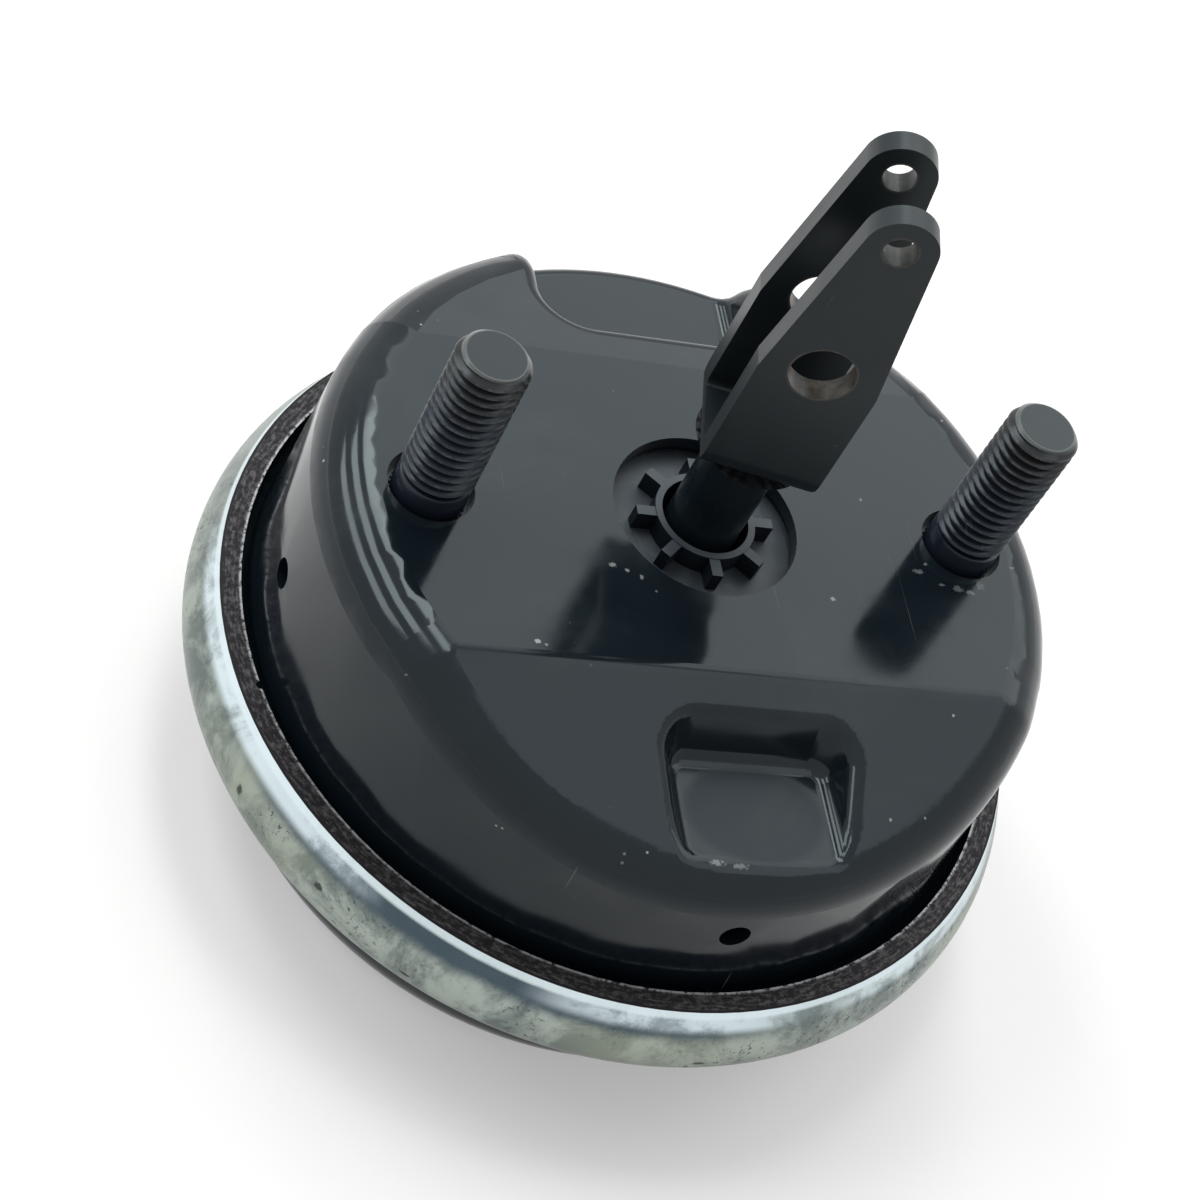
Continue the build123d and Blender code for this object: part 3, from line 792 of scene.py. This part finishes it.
stageLook = {
    "floorColour": (0.71, 0.665, 0.665), "floorSize": 8.0, "floorGap": 0.0001, "floorUneven": 1.02,
    "floorRough": 0.9, "floorSheen": 0.1, "floorGlow": 0.34, "fadeFrom": 0.9, "fadeTo": 2.6,
    "skyColour": (0.93, 1.0, 1.0), "skyStrength": 0.32,
}
# place, aim, width and length in metres, and how bright each panel looks
lampLook = {
    "backPanel": {
        "at": (1.072, 1.042, 1.46), "aim": (0.272, -0.178, 0), "size": (2.65, 1.2), "bright": 1.80,
    },
    "frontPanel": {
        "at": (0.78, -0.18, 1.60), "aim": (0, 0, 0), "size": (1.1, 0.8), "bright": 1.12,
    },
    "ceilingPanelNear": {
        "at": (-0.08, 1.15, 2.0), "aim": (-0.08, 1.15, 0), "size": (0.46, 1.7), "bright": 7.5,
    },
    "ceilingPanelMiddle": {
        "at": (-1.12, 1.35, 2.0), "aim": (-1.12, 1.35, 0), "size": (0.6, 2.0), "bright": 7.0,
    },
    "ceilingPanelFar": {
        "at": (-2.9, 1.8, 2.0), "aim": (-2.9, 1.8, 0), "size": (1.2, 3.2), "bright": 6.0,
    },
}
lampColour = (0.94, 1.0, 0.99)
cameraLook = {
    "place": (-0.24807, -0.36050, 0.42753), "turn": (38.7625, -20.7746, -9.4306),
    "lens": 88.407, "sensor": 36.0, "near": 0.01, "far": 20,
}


def seenDirectly(tree):
    # camera, glossy and transmission rays see the background's own white
    path = addNode(tree, "ShaderNodeLightPath")
    seen = either(tree, path.outputs["Is Camera Ray"], path.outputs["Is Glossy Ray"])
    return either(tree, seen, path.outputs["Is Transmission Ray"])


def makeFloor():
    deselectAll()
    level = cadBox[0].z - stageLook["floorGap"]
    bpy.ops.mesh.primitive_plane_add(size=stageLook["floorSize"], location=(0, 0, level))
    floor = bpy.context.object
    floor.name = "floor"
    material, tree, shader = newMaterial("floorPaint")
    tone = noise(tree, objectPlace(tree), 3.0, 2.0)
    pale = tuple(part * stageLook["floorUneven"] for part in stageLook["floorColour"])
    tree.links.new(blendColour(tree, tone, stageLook["floorColour"], pale), shader.inputs["Base Color"])
    shader.inputs["Roughness"].default_value = stageLook["floorRough"]
    shader.inputs["Specular IOR Level"].default_value = stageLook["floorSheen"]
    shader.inputs["Emission Color"].default_value = (1, 1, 1, 1)
    # the far floor fades into the white behind it
    away = distanceFrom(tree, (0, 0, 0))
    fade = band(tree, away, stageLook["fadeFrom"], stageLook["fadeTo"], stageLook["floorGlow"], 1.0)
    glow = both(tree, seenDirectly(tree), fade)
    tree.links.new(glow, shader.inputs["Emission Strength"])
    floor.data.materials.append(material)


def makeWorld():
    world = bpy.data.worlds.new("studio")
    bpy.context.scene.world = world
    world.use_nodes = True
    tree = world.node_tree
    soft = tree.nodes["Background"]
    soft.inputs["Color"].default_value = (*stageLook["skyColour"], 1.0)
    soft.inputs["Strength"].default_value = stageLook["skyStrength"]
    white = addNode(tree, "ShaderNodeBackground")
    white.inputs["Color"].default_value = (1, 1, 1, 1)
    white.inputs["Strength"].default_value = 1.0
    mix = addNode(tree, "ShaderNodeMixShader")
    tree.links.new(seenDirectly(tree), mix.inputs[0])
    tree.links.new(soft.outputs[0], mix.inputs[1])
    tree.links.new(white.outputs[0], mix.inputs[2])
    tree.links.new(mix.outputs[0], tree.nodes["World Output"].inputs["Surface"])


def makeLamp(name, look):
    lamp = bpy.data.lights.new(name, "AREA")
    lamp.shape = "RECTANGLE"
    lamp.size, lamp.size_y = look["size"]
    lamp.energy = look["bright"] * pi * lamp.size * lamp.size_y
    lamp.color = lampColour
    holder = bpy.data.objects.new(name, lamp)
    holder.location = look["at"]
    aim = Vector(look["aim"]) - Vector(look["at"])
    holder.rotation_euler = aim.to_track_quat("-Z", "Y").to_euler()
    bpy.context.scene.collection.objects.link(holder)


def makeCamera():
    camera = bpy.data.cameras.new("camera")
    camera.lens = cameraLook["lens"]
    camera.sensor_width = cameraLook["sensor"]
    camera.clip_start, camera.clip_end = cameraLook["near"], cameraLook["far"]
    holder = bpy.data.objects.new("camera", camera)
    holder.location = cameraLook["place"]
    holder.rotation_euler = Euler([radians(a) for a in cameraLook["turn"]])
    bpy.context.scene.collection.objects.link(holder)
    bpy.context.scene.camera = holder


print("floor, light and camera")
makeFloor()
makeWorld()
for name, look in lampLook.items():
    makeLamp(name, look)
makeCamera()
bpy.context.scene.view_settings.view_transform = "Standard"
